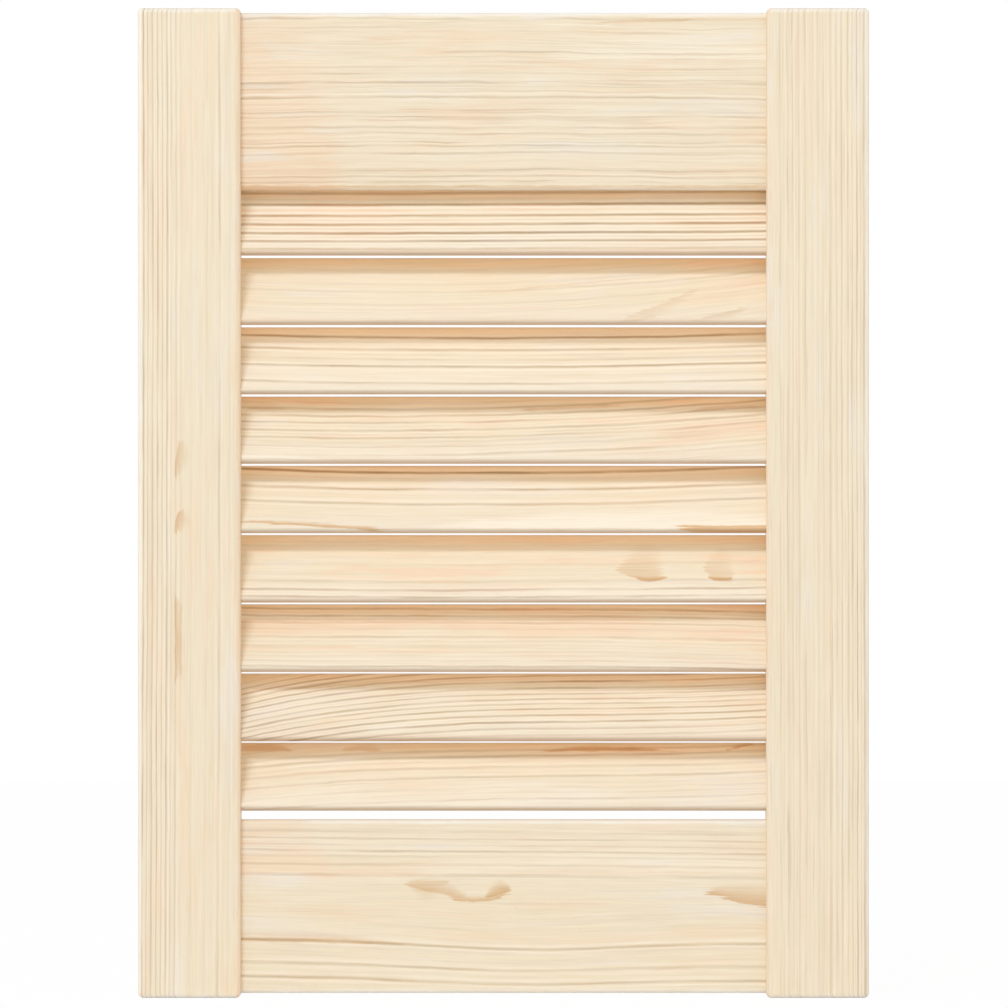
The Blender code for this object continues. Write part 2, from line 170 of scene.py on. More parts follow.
GRAIN = {
    "left_stile": Grain(
        seed=1,
        lines=(
            (-18.3, 0.44), (-16.7, 0.34), (-14.7, 0.38), (-12.7, 0.42), (-10.8, 0.32), (-9.0, 0.46),
            (-7.2, 0.24), (-5.4, 0.24), (0.7, 0.08), (12.1, 0.14), (16.2, 0.10),
        ),
        rise=-0.25,
        bow=-0.13,
        flames=(
            Flame(along=-18.0, across=-5.3, length=17, fade=6.5, depth=0.52, tilt=-1.2, bend=1.0),
            Flame(along=-16.0, across=-5.5, length=13, fade=1.8, depth=0.90, tilt=-0.5, bend=0.6),
            Flame(along=7.5, across=-5.3, length=11, fade=6.5, depth=0.60, tilt=-1.2, bend=1.0),
            Flame(along=7.0, across=-5.4, length=9, fade=1.8, depth=0.85, tilt=-0.9, bend=0.8),
            Flame(along=41.5, across=-5.4, length=9, fade=2.4, depth=0.60),
            Flame(along=55.0, across=-5.7, length=38, fade=4.5, depth=0.62),
            Flame(along=55.0, across=-3.0, length=36, fade=-4.5, depth=0.42),
            band(18.9, fade=6.0, depth=0.90, tone="blush"),
        ),
        spacing=3.1,
        ring_depth=0.12,
        jitter=0.22,
        fading=0.4,
        line_width=0.85,
        wear=0.9,
        blush=0.8,
    ),
    "right_stile": Grain(
        seed=2,
        lines=(
            (-11.4, 0.16), (-10.0, 0.18), (-7.5, 0.18), (0.5, 0.13), (2.3, 0.13), (5.4, 0.20), (7.8, 0.20),
            (9.7, 0.28), (12.3, 0.23), (14.0, 0.30), (15.9, 0.50), (17.3, 0.30), (18.7, 0.44),
        ),
        rise=0.18,
        flames=(band(-19.0, fade=-6.0, depth=0.70, tone="blush"),),
        spacing=1.7,
        ring_depth=0.24,
        jitter=0.22,
        fading=0.4,
        line_width=0.85,
        wear=0.9,
        blush=0.3,
    ),
    "top_rail": Grain(
        seed=3,
        lines=(
            (13.9, 0.13), (11.4, 0.14), (8.0, 0.06), (6.1, 0.15), (4.2, 0.06), (1.6, 0.42),
            (-0.8, 0.10), (-4.1, 0.14), (-5.9, 0.12), (-10.3, 0.24), (-12.7, 0.23), (-15.0, 0.08),
            (-17.6, 0.26), (-20.6, 0.24), (-27.2, 0.12), (-30.0, 0.32), (-32.6, 0.06),
        ),
        rise=-0.14,
        bow=-0.52,
        flames=(
            Flame(along=70.0, across=32.4, length=90, fade=1.4, depth=0.60, tilt=1.0),
            # Painted highlight: whitish glints near the top edge, in these two pale flames
            Flame(along=30.0, across=30.8, length=34, fade=0.7, depth=1.3, tone="pale"),
            Flame(along=88.0, across=32.9, length=36, fade=0.8, depth=1.3, tilt=0.6, tone="pale"),
            Flame(along=72.0, across=17.0, length=120, fade=17.0, depth=0.60, tone="pale"),
            Flame(along=-104.0, across=-36.0, length=84, fade=150.0, depth=1.10, tone="blush"),
            Flame(along=106.0, across=-17.0, length=34, fade=30.0, depth=0.80, tone="blush"),
            Flame(along=-75.0, across=-33.0, length=120, fade=26.0, depth=0.12),
            # Painted shade: a tan band along the rail's lower edge, over the shade above the top slat
            band(-33.8, fade=-4.0, depth=0.65),
        ),
        spacing=2.0,
        ring_depth=0.28,
        waviness=1.6,
        wear=0.8,
        blush=0.8,
    ),
    "bottom_rail": Grain(
        seed=4,
        lines=(
            (29.6, 0.14), (27.0, 0.32), (24.4, 0.18), (22.2, 0.32), (19.8, 0.16), (16.6, 0.22),
            (12.2, 0.18), (-13.9, 0.42), (-23.1, 0.32), (-28.8, 0.42),
        ),
        rise=-0.55,
        twist=-0.4,
        swirl=(10.0, 2.0, 55.0, 13.0, 3.5),
        flames=(
            Flame(along=-27.0, across=5.2, length=28, fade=7.5, depth=0.80, tilt=-3.2, bend=0.6),
            Flame(along=-30.5, across=10.4, length=18, fade=-10.0, depth=0.60),
            Flame(along=-10.0, across=2.0, length=28, fade=3.2, depth=0.90, tilt=0.6, bend=2.8),
            Flame(along=-2.0, across=4.4, length=12, fade=8.0, depth=0.90, tilt=1.6, bend=0.4),
            Flame(along=106.0, across=-0.5, length=52, fade=10.5, depth=0.85, tilt=-4.8, bend=2.7),
            Flame(along=-83.0, across=-14.3, length=90, fade=5.5, depth=0.70, tilt=-0.9),
            Flame(along=-98.0, across=10.5, length=64, fade=46.0, depth=1.30, tone="blush"),
            Flame(along=-58.0, across=12.5, length=60, fade=8.0, depth=1.00, tone="blush"),
            Flame(along=45.0, across=13.0, length=90, fade=8.0, depth=0.60, tone="blush"),
            Flame(along=45.0, across=14.0, length=180, fade=24.0, depth=0.45, tone="pale"),
        ),
        spacing=2.2,
        ring_depth=0.12,
        waviness=0.3,
        jitter=0.3,
        wear=0.8,
        blush=0.6,
    ),
    "slat_1": Grain(
        seed=5,
        lines=(
            # (12.3, 0.60) is painted shade: the dark crevice under the top rail, drawn as a line
            (12.3, 0.60), (7.1, 0.76), (2.1, 0.74), (-1.9, 0.86), (-5.9, 0.98), (-9.6, 0.74), (-13.1, 0.30),
        ),
        rise=0.4,
        bow=0.2,
        # Painted shade: a darker band along the round lower edge
        flames=(band(-13.0, fade=-8.0, depth=0.36),),
        spacing=4.0,
        ring_depth=0.08,
        jitter=0.2,
        fading=0.3,
    ),
    "slat_2": Grain(
        seed=6,
        lines=((2.9, 0.10), (-0.6, 0.16), (-6.3, 0.12)),
        rise=4.0,
        bow=4.5,
        flames=(
            Flame(along=29.0, across=2.1, length=64, fade=1.3, depth=0.38, tilt=3.4),
            Flame(along=63.0, across=-6.5, length=32, fade=-7.0, depth=0.36, tilt=7.5),
            Flame(along=55.0, across=-12.6, length=16, fade=-4.0, depth=0.40, tilt=1.0),
            Flame(along=87.0, across=-11.0, length=24, fade=-6.0, depth=0.36, tilt=3.5),
            # Painted shade: a darker band along the round lower edge
            band(-13.2, fade=-8.0, depth=0.18),
        ),
        ring_depth=0.10,
        waviness=0.8,
        blush=0.7,
    ),
    "slat_3": Grain(
        seed=7,
        lines=((9.3, 0.84), (3.8, 0.50), (-0.6, 0.22), (-3.7, 0.62), (-11.4, 0.34)),
        rise=0.23,
        bow=1.5,
        flames=(
            band(-14.0, fade=30.0, depth=0.22, tone="pale"),
            # Painted light: paler wood over the shaded upper band, lifting its shade
            band(15.5, fade=-14.0, depth=0.65, tone="pale"),
        ),
        spacing=3.8,
        ring_depth=0.08,
        jitter=0.25,
        fading=0.35,
        blush=0.2,
    ),
    "slat_4": Grain(
        seed=8,
        lines=(
            (9.2, 0.30), (5.9, 0.40), (3.1, 0.30), (-0.5, 0.40), (-3.8, 0.26), (-7.6, 0.12), (-11.6, 0.24),
        ),
        rise=3.1,
        bow=2.9,
        flames=(
            Flame(along=28.0, across=8.8, length=44, fade=2.4, depth=0.60, tilt=1.2),
            Flame(along=90.0, across=8.4, length=34, fade=3.0, depth=0.60, tilt=1.0),
            Flame(along=-96.0, across=8.4, length=16, fade=4.5, depth=0.45),
            Flame(along=-75.0, across=-13.5, length=100, fade=11.0, depth=0.60, tone="pale"),
        ),
        spacing=1.9,
        ring_depth=0.16,
        waviness=0.8,
    ),
    "slat_5": Grain(
        seed=9,
        lines=((10.9, 0.80), (3.3, 0.50), (-3.3, 0.40)),
        rise=0.45,
        bow=2.3,
        flames=(
            Flame(along=94.0, across=-12.8, length=50, fade=-12.0, depth=1.35),
            Flame(along=-78.0, across=-12.9, length=70, fade=2.4, depth=1.10, tilt=-2.3),
            Flame(along=62.0, across=-14.0, length=180, fade=14.0, depth=1.10, tone="pale"),
        ),
        spacing=3.6,
        ring_depth=0.09,
        jitter=0.25,
        fading=0.4,
        blush=0.7,
    ),
    "slat_6": Grain(
        seed=10,
        lines=((9.3, 0.10), (0.9, 0.10), (-6.7, 0.20), (-10.6, 0.42), (-13.7, 0.46)),
        rise=0.4,
        bow=0.6,
        flames=(
            Flame(along=54.3, across=-5.3, length=21, fade=20.0, depth=0.48, tilt=-2.3, bend=1.6, skew=0.3),
            Flame(along=58.5, across=-6.5, length=16, fade=3.6, depth=1.50, tilt=-0.3, bend=2.2),
            Flame(along=86.0, across=-6.2, length=14, fade=18.0, depth=0.46, tilt=-3.0, bend=3.0, skew=0.2),
            Flame(along=87.5, across=-6.7, length=11, fade=3.6, depth=1.50, tilt=-0.3, bend=2.2),
            Flame(along=50.0, across=-13.5, length=170, fade=8.0, depth=0.60, tone="pale"),
            # Painted light: paler wood over the shaded upper band, lifting its shade
            band(15.5, fade=-12.0, depth=0.50, tone="pale"),
        ),
        spacing=3.4,
        ring_depth=0.09,
        waviness=0.6,
    ),
    "slat_7": Grain(
        seed=11,
        lines=(
            (12.1, 0.44), (9.0, 0.44), (5.9, 0.30), (3.3, 0.12), (-0.6, 0.26), (-2.7, 0.12), (-4.5, 0.12),
            (-7.5, 0.10), (-9.3, 0.12), (-11.3, 0.18), (-13.6, 0.40),
        ),
        rise=-0.1,
        bow=-0.55,
        twist=-0.9,
        flames=(
            Flame(along=-70.0, across=7.5, length=110, fade=-10.0, depth=1.00, tone="blush"),
            Flame(along=-75.0, across=7.5, length=120, fade=-12.0, depth=0.15),
        ),
        spacing=1.8,
        ring_depth=0.13,
        waviness=0.6,
        blush=1.1,
    ),
    "slat_8": Grain(
        seed=12,
        lines=(
            (22.2, 0.30), (19.9, 0.46), (17.6, 0.56), (15.3, 0.62), (12.8, 0.62), (10.2, 0.52), (7.1, 0.46),
            (4.6, 0.50), (2.4, 0.52), (0.2, 0.42), (-2.0, 0.44), (-4.8, 0.58), (-7.8, 0.60), (-10.9, 0.40),
            (-13.6, 0.25),
        ),
        rise=2.9,
        bow=-4.6,
        twist=4.0,
        flames=(
            Flame(along=-60.0, across=8.6, length=70, fade=3.4, depth=0.45, tilt=2.0),
            Flame(along=-88.0, across=-13.5, length=80, fade=16.0, depth=0.15),
            # Painted shade: a darker band along the round lower edge
            band(-13.2, fade=-8.0, depth=0.20),
        ),
        spacing=2.0,
        ring_depth=0.16,
        waviness=0.5,
        jitter=0.3,
    ),
    "slat_9": Grain(
        seed=13,
        lines=(
            (11.0, 0.22), (8.4, 0.40), (3.4, 0.34), (-1.0, 0.30), (-6.2, 0.14), (-8.3, 0.10), (-11.0, 0.18),
        ),
        rise=1.3,
        bow=-1.6,
        twist=2.2,
        flames=(
            Flame(along=-96.0, across=10.5, length=24, fade=6.0, depth=0.75),
            Flame(along=-57.0, across=10.5, length=18, fade=5.0, depth=0.50),
            Flame(along=41.0, across=10.6, length=54, fade=3.4, depth=1.10, bend=-0.3),
            Flame(along=95.5, across=12.2, length=12, fade=2.4, depth=1.00, tilt=1.7),
            Flame(along=-25.0, across=-14.0, length=190, fade=26.0, depth=0.40, tone="pale"),
        ),
        spacing=2.2,
        ring_depth=0.12,
        waviness=0.7,
        blush=0.7,
    ),
}


class DoorSizes(bpy.types.PropertyGroup):
    """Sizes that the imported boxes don't give."""

    stile_round: FloatProperty(
        name="Stile round", description="Radius of the stiles' rounded edges", default=0.002, unit="LENGTH"
    )
    rail_round: FloatProperty(
        name="Rail round", description="Radius of the rails' rounded edges", default=0.0015, unit="LENGTH"
    )
    round_steps: IntProperty(name="Round steps", description="Facets across a rounded edge", default=8, min=2)
    slat_thickness: FloatProperty(
        name="Slat thickness", description="Thickness of a slat", default=0.004, unit="LENGTH"
    )
    nose_steps: IntProperty(
        name="Nose steps", description="Facets round a slat's half-round edge, an odd number",
        default=25, min=5,
    )
    fit: FloatProperty(
        name="Fit", description="Room round slats and dowels and at the rails' ends",
        default=0.00002, unit="LENGTH", precision=6,
    )
    dowel_end_room: FloatProperty(
        name="Dowel end room", description="Glue space past each end of a dowel", default=0.001, unit="LENGTH"
    )
    hole_steps: IntProperty(name="Hole steps", description="Facets round a dowel hole", default=32, min=8)


class PineFinish(bpy.types.PropertyGroup):
    """Colours and surface of the bare pine."""

    early_wood: FloatVectorProperty(
        name="Early wood", description="Pale wood between the lines",
        subtype="COLOR", default=(0.885, 0.760, 0.560),
    )
    blush_wood: FloatVectorProperty(
        name="Blush wood", description="Pinkish patches of the early wood",
        subtype="COLOR", default=(0.905, 0.700, 0.495),
    )
    chalk_wood: FloatVectorProperty(
        name="Chalk wood", description="Whitish patches of the early wood",
        subtype="COLOR", default=(0.885, 0.780, 0.640),
    )
    pale_wood: FloatVectorProperty(
        name="Pale wood", description="Palest wood, beside the lines",
        subtype="COLOR", default=(0.97, 0.86, 0.69),
    )
    late_tint: FloatVectorProperty(
        name="Late tint", description="What a full line keeps of the colour",
        subtype="COLOR", default=(0.575, 0.48, 0.385),
    )
    flame_tint: FloatVectorProperty(
        name="Flame tint", description="What a flame keeps of the colour",
        subtype="COLOR", default=(0.80, 0.60, 0.41),
    )
    slat_tint: FloatVectorProperty(
        name="Slat tint", description="What a slat keeps of the colour",
        subtype="COLOR", default=(1.01, 0.995, 0.98),
    )
    # Painted shade: the warm tint that stands in for the shade under each slat above
    shelter_tint: FloatVectorProperty(
        name="Shelter tint", description="What a slat's sheltered wood keeps of the colour",
        subtype="COLOR", default=(1.085, 0.945, 0.825),
    )
    # Painted shade on the slats' round edges, which face down away from the light
    nose_tint: FloatVectorProperty(
        name="Nose tint", description="What a slat's round edge keeps of the colour",
        subtype="COLOR", default=(0.73, 0.665, 0.63),
    )
    end_tint: FloatVectorProperty(
        name="End tint", description="What end grain keeps of the colour",
        subtype="COLOR", default=(0.80, 0.69, 0.57),
    )
    # Paler arrises: sanding wear, and painted highlight where the light catches the rounded edges
    worn_wood: FloatVectorProperty(
        name="Worn wood", description="Sanded arrises", subtype="COLOR", default=(0.97, 0.92, 0.84)
    )
    roughness: FloatProperty(
        name="Roughness", description="Roughness of the early wood", default=0.62, subtype="FACTOR"
    )
    relief: FloatProperty(
        name="Relief", description="Height of the grain's relief", default=0.00005, unit="LENGTH", precision=6
    )


class BeechFinish(bpy.types.PropertyGroup):
    """Colours and surface of the dowels."""

    body: FloatVectorProperty(
        name="Beech", description="Beech between the flecks", subtype="COLOR", default=(0.66, 0.45, 0.27)
    )
    fleck: FloatVectorProperty(
        name="Fleck", description="Ray flecks in the beech", subtype="COLOR", default=(0.42, 0.25, 0.13)
    )
    roughness: FloatProperty(
        name="Roughness", description="Roughness of the beech", default=0.6, subtype="FACTOR"
    )
    relief: FloatProperty(
        name="Relief", description="Height of the flecks' relief", default=0.00004, unit="LENGTH", precision=6
    )


class StudioSettings(bpy.types.PropertyGroup):
    """Camera, lamp, fill light and floor."""

    camera_distance: FloatProperty(
        name="Camera distance", description="From the door's middle plane", default=5.2, unit="LENGTH"
    )
    camera_height: FloatProperty(
        name="Camera height", description="Above the floor", default=0.239, unit="LENGTH"
    )
    aim: FloatVectorProperty(
        name="Aim", description="Point at the picture's middle", default=(0.0002, 0.0, 0.1986), subtype="XYZ"
    )
    lens: FloatProperty(name="Lens", description="Focal length in mm on a 36 mm sensor", default=461.0)
    key_power: FloatProperty(name="Key power", description="Power of the key lamp in watts", default=300.0)
    key_colour: FloatVectorProperty(
        name="Key colour", description="Slightly cool daylight", subtype="COLOR", default=(0.72, 0.84, 1.0)
    )
    key_distance: FloatProperty(
        name="Key distance", description="From the door's middle", default=9.0, unit="LENGTH"
    )
    key_width: FloatProperty(
        name="Key width", description="Width of the key lamp", default=2.9, unit="LENGTH"
    )
    key_height: FloatProperty(
        name="Key height", description="Height of the key lamp", default=0.8, unit="LENGTH"
    )
    key_azimuth: FloatProperty(
        name="Key azimuth", description="To the left of the front",
        default=math.radians(21.5), subtype="ANGLE",
    )
    key_elevation: FloatProperty(
        name="Key elevation", description="Above the horizon", default=math.radians(39.7), subtype="ANGLE"
    )
    fill: FloatProperty(name="Fill", description="Strength of the light from all round", default=1.0)
    fill_colour: FloatVectorProperty(
        name="Fill colour", description="Slightly warm, so that both lights together are white",
        subtype="COLOR", default=(1.0, 0.955, 0.89),
    )
    zenith: FloatProperty(
        name="Zenith", description="Share of the fill that comes from overhead", default=0.45
    )
    floor_radius: FloatProperty(
        name="Floor radius", description="Radius of the floor", default=3.0, unit="LENGTH"
    )
    floor_colour: FloatVectorProperty(
        name="Floor", description="Colour of the floor to the eye",
        subtype="COLOR", default=(0.95, 0.95, 0.95),
    )
    floor_bounce: FloatVectorProperty(
        name="Floor bounce", description="Colour that the floor throws back",
        subtype="COLOR", default=(0.9, 0.9, 0.9),
    )
    floor_glow: FloatProperty(
        name="Floor glow", description="Share of plain white in the floor that the camera sees", default=0.97
    )


class Wiring:
    """Puts nodes into one node tree and joins them."""

    def __init__(self, tree):
        self.tree = tree

    def feed(self, socket, value):
        """Joins a socket to another node's output, or sets its value."""
        if isinstance(value, bpy.types.NodeSocket):
            self.tree.links.new(value, socket)
        else:
            socket.default_value = value

    def node(self, kind, inputs=None, **settings):
        """A new node, with its settings made first and its inputs fed by name or number."""
        made = self.tree.nodes.new(kind)
        for name, value in settings.items():
            setattr(made, name, value)
        for key, value in (inputs or {}).items():
            self.feed(made.inputs[key], value)
        return made

    def group(self, tree, inputs):
        """A node that holds a shader group."""
        return self.node("ShaderNodeGroup", inputs, node_tree=tree).outputs

    def math(self, operation, *terms, clamp=False):
        """One arithmetic step on numbers."""
        inputs = dict(enumerate(terms))
        return self.node("ShaderNodeMath", inputs, operation=operation, use_clamp=clamp).outputs[0]

    def vector(self, operation, *terms):
        """One arithmetic step on vectors."""
        return self.node("ShaderNodeVectorMath", dict(enumerate(terms)), operation=operation).outputs[0]

    def parts(self, vector):
        """The three parts of a vector."""
        return self.node("ShaderNodeSeparateXYZ", {"Vector": vector}).outputs

    def point(self, x=0.0, y=0.0, z=0.0):
        """A vector from its three parts."""
        return self.node("ShaderNodeCombineXYZ", {0: x, 1: y, 2: z}).outputs[0]

    def between(self, value, low, high, to_low=0.0, to_high=1.0):
        """A smooth step from to_low to to_high as value goes from low to high."""
        inputs = {0: value, 1: low, 2: high, 3: to_low, 4: to_high}
        return self.node("ShaderNodeMapRange", inputs, interpolation_type="SMOOTHSTEP").outputs[0]

    def span(self, value, to_low, to_high, low=0.0, high=1.0):
        """A straight line from to_low to to_high as value goes from low to high."""
        inputs = {0: value, 1: low, 2: high, 3: to_low, 4: to_high}
        return self.node("ShaderNodeMapRange", inputs).outputs[0]

    def noise(self, position, sizes, shift, detail=1.0, roughness=0.5):
        """Noise from 0 to 1 whose patches have the given sizes in millimetres."""
        scaled = self.vector("MULTIPLY_ADD", position, [1 / size for size in sizes], shift)
        inputs = {"Vector": scaled, "Scale": 1.0, "Detail": detail, "Roughness": roughness}
        return self.node("ShaderNodeTexNoise", inputs).outputs["Fac"]

    def mix(self, factor, first, second, blend="MIX"):
        """A mix of two colours."""
        inputs = {0: factor, 6: first, 7: second}
        return self.node("ShaderNodeMix", inputs, data_type="RGBA", blend_type=blend).outputs[2]


def new_group(name, kind, inputs, outputs):
    """An empty node group with its sockets, and the wiring, given values and wanted results in it."""
    tree = bpy.data.node_groups.new(name, kind)
    for label, socket_type, default in inputs:
        socket = tree.interface.new_socket(label, in_out="INPUT", socket_type=socket_type)
        if default is not None:
            socket.default_value = default
    for label, socket_type in outputs:
        tree.interface.new_socket(label, in_out="OUTPUT", socket_type=socket_type)
    wiring = Wiring(tree)
    given = wiring.node("NodeGroupInput").outputs
    wanted = wiring.node("NodeGroupOutput").inputs
    return wiring, given, wanted


def shader_group(name, numbers, outputs, vectors=("Position",), colours=()):
    """A shader group whose inputs are vectors, colours and numbers with their defaults."""
    inputs = [(label, "NodeSocketVector", None) for label in vectors]
    inputs += [(label, "NodeSocketColor", None) for label in colours]
    inputs += [(label, "NodeSocketFloat", value) for label, value in numbers.items()]
    return new_group(name, "ShaderNodeTree", inputs, outputs)


def grain_flow_group():
    """Where a point lies among the growth rings: the place across the board of the line through it."""
    numbers = {"Rise": 0.0, "Bow": 0.0, "Twist": 0.0, "Lean": 0.5, "Front": 10.0}
    numbers |= {"Waviness": 0.3, "Jitter": 0.3} | SWIRL
    outputs = [("Ring", "NodeSocketFloat"), ("Grain", "NodeSocketVector")]
    wiring, given, wanted = shader_group("Grain flow", numbers, outputs, vectors=("Position", "Shift"))
    u, v, w = wiring.parts(given["Position"])
    hundreds = wiring.math("MULTIPLY", u, 0.01)
    curve = wiring.math("MULTIPLY_ADD", hundreds, given["Twist"], given["Bow"])
    curve = wiring.math("MULTIPLY_ADD", hundreds, curve, given["Rise"])
    climb = wiring.math("MULTIPLY", hundreds, curve)

    along = wiring.math("DIVIDE", wiring.math("SUBTRACT", u, given["Swirl along"]), given["Swirl length"])
    nearness = wiring.math("EXPONENT", wiring.math("MULTIPLY", wiring.math("MULTIPLY", along, along), -1.0))
    across = wiring.math("DIVIDE", wiring.math("SUBTRACT", v, given["Swirl across"]), given["Swirl height"])
    below = wiring.math("MINIMUM", across, 0.0)
    spread = wiring.math("DIVIDE", below, wiring.math("MULTIPLY_ADD", below, below, 1.0))
    push = wiring.math("MULTIPLY", wiring.math("MULTIPLY", nearness, spread), given["Swirl push"])
    # The spread is a half at most, so twice the push reaches its full height
    climb = wiring.math("MULTIPLY_ADD", push, 2.0, climb)

    wave = wiring.noise(given["Position"], (55.0, 24.0, 24.0), given["Shift"], detail=2.0)
    wave = wiring.math("MULTIPLY", wiring.span(wave, -1.0, 1.0), given["Waviness"])
    jitter = wiring.noise(given["Position"], (11.0, 3.0, 3.0), given["Shift"], detail=2.0)
    wave = wiring.math("MULTIPLY_ADD", wiring.span(jitter, -1.0, 1.0), given["Jitter"], wave)
    depth = wiring.math("SUBTRACT", w, given["Front"])
    ring = wiring.math("SUBTRACT", wiring.math("MULTIPLY_ADD", depth, given["Lean"], v), climb)
    ring = wiring.math("ADD", ring, wave)
    wiring.feed(wanted["Ring"], ring)
    wiring.feed(wanted["Grain"], wiring.point(u, ring, w))
    return wiring.tree


def growth_ring_group():
    """Fine growth rings: each darkens slowly, ends sharply and has its own depth."""
    numbers = {"Ring": 0.0, "Spacing": 2.0, "Seed": 0.0}
    outputs = [("Latewood", "NodeSocketFloat")]
    wiring, given, wanted = shader_group("Growth rings", numbers, outputs, vectors=())
    count = wiring.math("ADD", wiring.math("DIVIDE", given["Ring"], given["Spacing"]), given["Seed"])
    uneven_inputs = {"W": count, "Scale": 0.43, "Detail": 1.0}
    uneven = wiring.node("ShaderNodeTexNoise", uneven_inputs, noise_dimensions="1D")
    count = wiring.math("MULTIPLY_ADD", uneven.outputs["Fac"], 1.6, count)
    share = wiring.math("FRACT", count)
    darkening = wiring.between(share, 0.30, 0.86)
    ending = wiring.between(share, 0.88, 1.0, 1.0, 0.0)
    number = wiring.math("FLOOR", count)
    chance = wiring.node("ShaderNodeTexWhiteNoise", {"W": number}, noise_dimensions="1D")
    own_depth = wiring.math("POWER", chance.outputs["Value"], 1.4)
    late = wiring.math("MULTIPLY", darkening, ending)
    wiring.feed(wanted["Latewood"], wiring.math("MULTIPLY", late, own_depth))
    return wiring.tree


def fibre_group():
    """Fibres, streaks, resin ducts and broad patches of colour, all drawn out along the grain."""
    outputs = [(label, "NodeSocketFloat") for label in ("Fibre", "Streak", "Ducts", "Blush", "Chalk", "Fade")]
    wiring, given, wanted = shader_group("Fibres", {}, outputs, vectors=("Grain", "Shift"))
    grain, shift = given["Grain"], given["Shift"]
    fine = wiring.noise(grain, (20.0, 0.5, 0.5), shift, detail=2.0, roughness=0.6)
    streak = wiring.noise(grain, (75.0, 1.3, 1.3), shift, detail=3.0, roughness=0.6)
    fibre = wiring.math("MULTIPLY_ADD", streak, 1.2, wiring.math("MULTIPLY_ADD", fine, 0.8, -0.5))
    wiring.feed(wanted["Fibre"], fibre)
    wiring.feed(wanted["Streak"], wiring.between(streak, 0.54, 0.76))
    ducts = wiring.noise(grain, (2.6, 0.24, 0.24), shift, detail=1.0)
    wiring.feed(wanted["Ducts"], wiring.between(ducts, 0.72, 0.82))
    patches = wiring.noise(grain, (62.0, 9.0, 9.0), shift, detail=3.0, roughness=0.6)
    patches = wiring.math("MULTIPLY_ADD", streak, 0.3, wiring.math("SUBTRACT", patches, 0.15))
    wiring.feed(wanted["Blush"], wiring.between(patches, 0.48, 0.70))
    wiring.feed(wanted["Chalk"], wiring.between(patches, 0.28, 0.46, 1.0, 0.0))
    wiring.feed(wanted["Fade"], wiring.noise(grain, (34.0, 2.0, 2.0), shift, detail=2.0))
    return wiring.tree


def flame_group():
    """One flame in a board's front: ragged at its ends, sharp along one edge, fading across the board."""
    numbers = {"Along": 0.0, "Across": 0.0, "Length": 20.0, "Fade": 5.0, "Side": 1.0}
    numbers |= {"Tilt": 0.0, "Bend": 0.0, "Skew": 0.0, "Depth": 0.5}
    outputs = [("Flame", "NodeSocketFloat")]
    wiring, given, wanted = shader_group("Flame", numbers, outputs, vectors=("Position", "Shift"))
    u, v, w = wiring.parts(given["Position"])
    fingers = wiring.noise(given["Position"], (30.0, 0.7, 0.7), given["Shift"], detail=2.0)
    crooked = wiring.noise(given["Position"], (7.0, 2.0, 2.0), given["Shift"], detail=2.0)
    v = wiring.math("ADD", v, wiring.span(crooked, -0.7, 0.7))
    half = wiring.math("MULTIPLY", given["Length"], 0.5)
    above = wiring.math("SUBTRACT", v, given["Across"])
    middle = wiring.math("MULTIPLY_ADD", above, given["Skew"], given["Along"])
    share = wiring.math("DIVIDE", wiring.math("SUBTRACT", u, middle), half)
    share = wiring.math("ADD", share, wiring.span(fingers, -0.4, 0.4))
    square = wiring.math("MULTIPLY", share, share)
    taper = wiring.math("SUBTRACT", 1.0, square, clamp=True)
    edge = wiring.math("MULTIPLY_ADD", square, given["Bend"], given["Across"])
    edge = wiring.math("MULTIPLY_ADD", share, given["Tilt"], edge)
    inside = wiring.math("MULTIPLY", wiring.math("SUBTRACT", v, edge), given["Side"])
    reach = wiring.math("MULTIPLY_ADD", taper, given["Fade"], LEAST_FADE)
    falling = wiring.between(wiring.math("DIVIDE", inside, reach), 0.0, 1.0, 1.0, 0.0)
    sharp_edge = wiring.between(inside, -0.45, 0.35)
    pointed_ends = wiring.between(taper, 0.0, 0.4)
    front_only = wiring.between(w, -1.0, 1.0)
    streaks = wiring.span(fingers, 0.35, 1.65)
    flame = falling
    for factor in (sharp_edge, pointed_ends, front_only, streaks, given["Depth"]):
        flame = wiring.math("MULTIPLY", flame, factor)
    wiring.feed(wanted["Flame"], flame)
    return wiring.tree


def arris_group():
    """Masks of the arrises, paled by sanding wear and by painted highlight, and of the end grain, from a
    board's half sizes.
    """
    outputs = [("Worn", "NodeSocketFloat"), ("End", "NodeSocketFloat")]
    vectors = ("Position", "Half size", "Shift")
    wiring, given, wanted = shader_group("Arris", {"Reach": 2.2}, outputs, vectors)
    inside = wiring.vector("SUBTRACT", given["Half size"], wiring.vector("ABSOLUTE", given["Position"]))
    end, side, face = wiring.parts(inside)
    nearer = wiring.math("MINIMUM", side, face)
    farther = wiring.math("MAXIMUM", side, face)
    second = wiring.math("MAXIMUM", nearer, wiring.math("MINIMUM", farther, end))
    patchy = wiring.noise(given["Position"], (9.0, 2.0, 2.0), given["Shift"], detail=2.0)
    reach = wiring.math("MULTIPLY", given["Reach"], wiring.span(patchy, 0.4, 1.6))
    wiring.feed(wanted["Worn"], wiring.between(second, 0.0, reach, 1.0, 0.0))
    wiring.feed(wanted["End"], wiring.between(end, 0.0, 0.12, 1.0, 0.0))
    return wiring.tree


def socket_label(tone):
    """The name of a tone's socket."""
    return tone.capitalize().replace("_", " ")


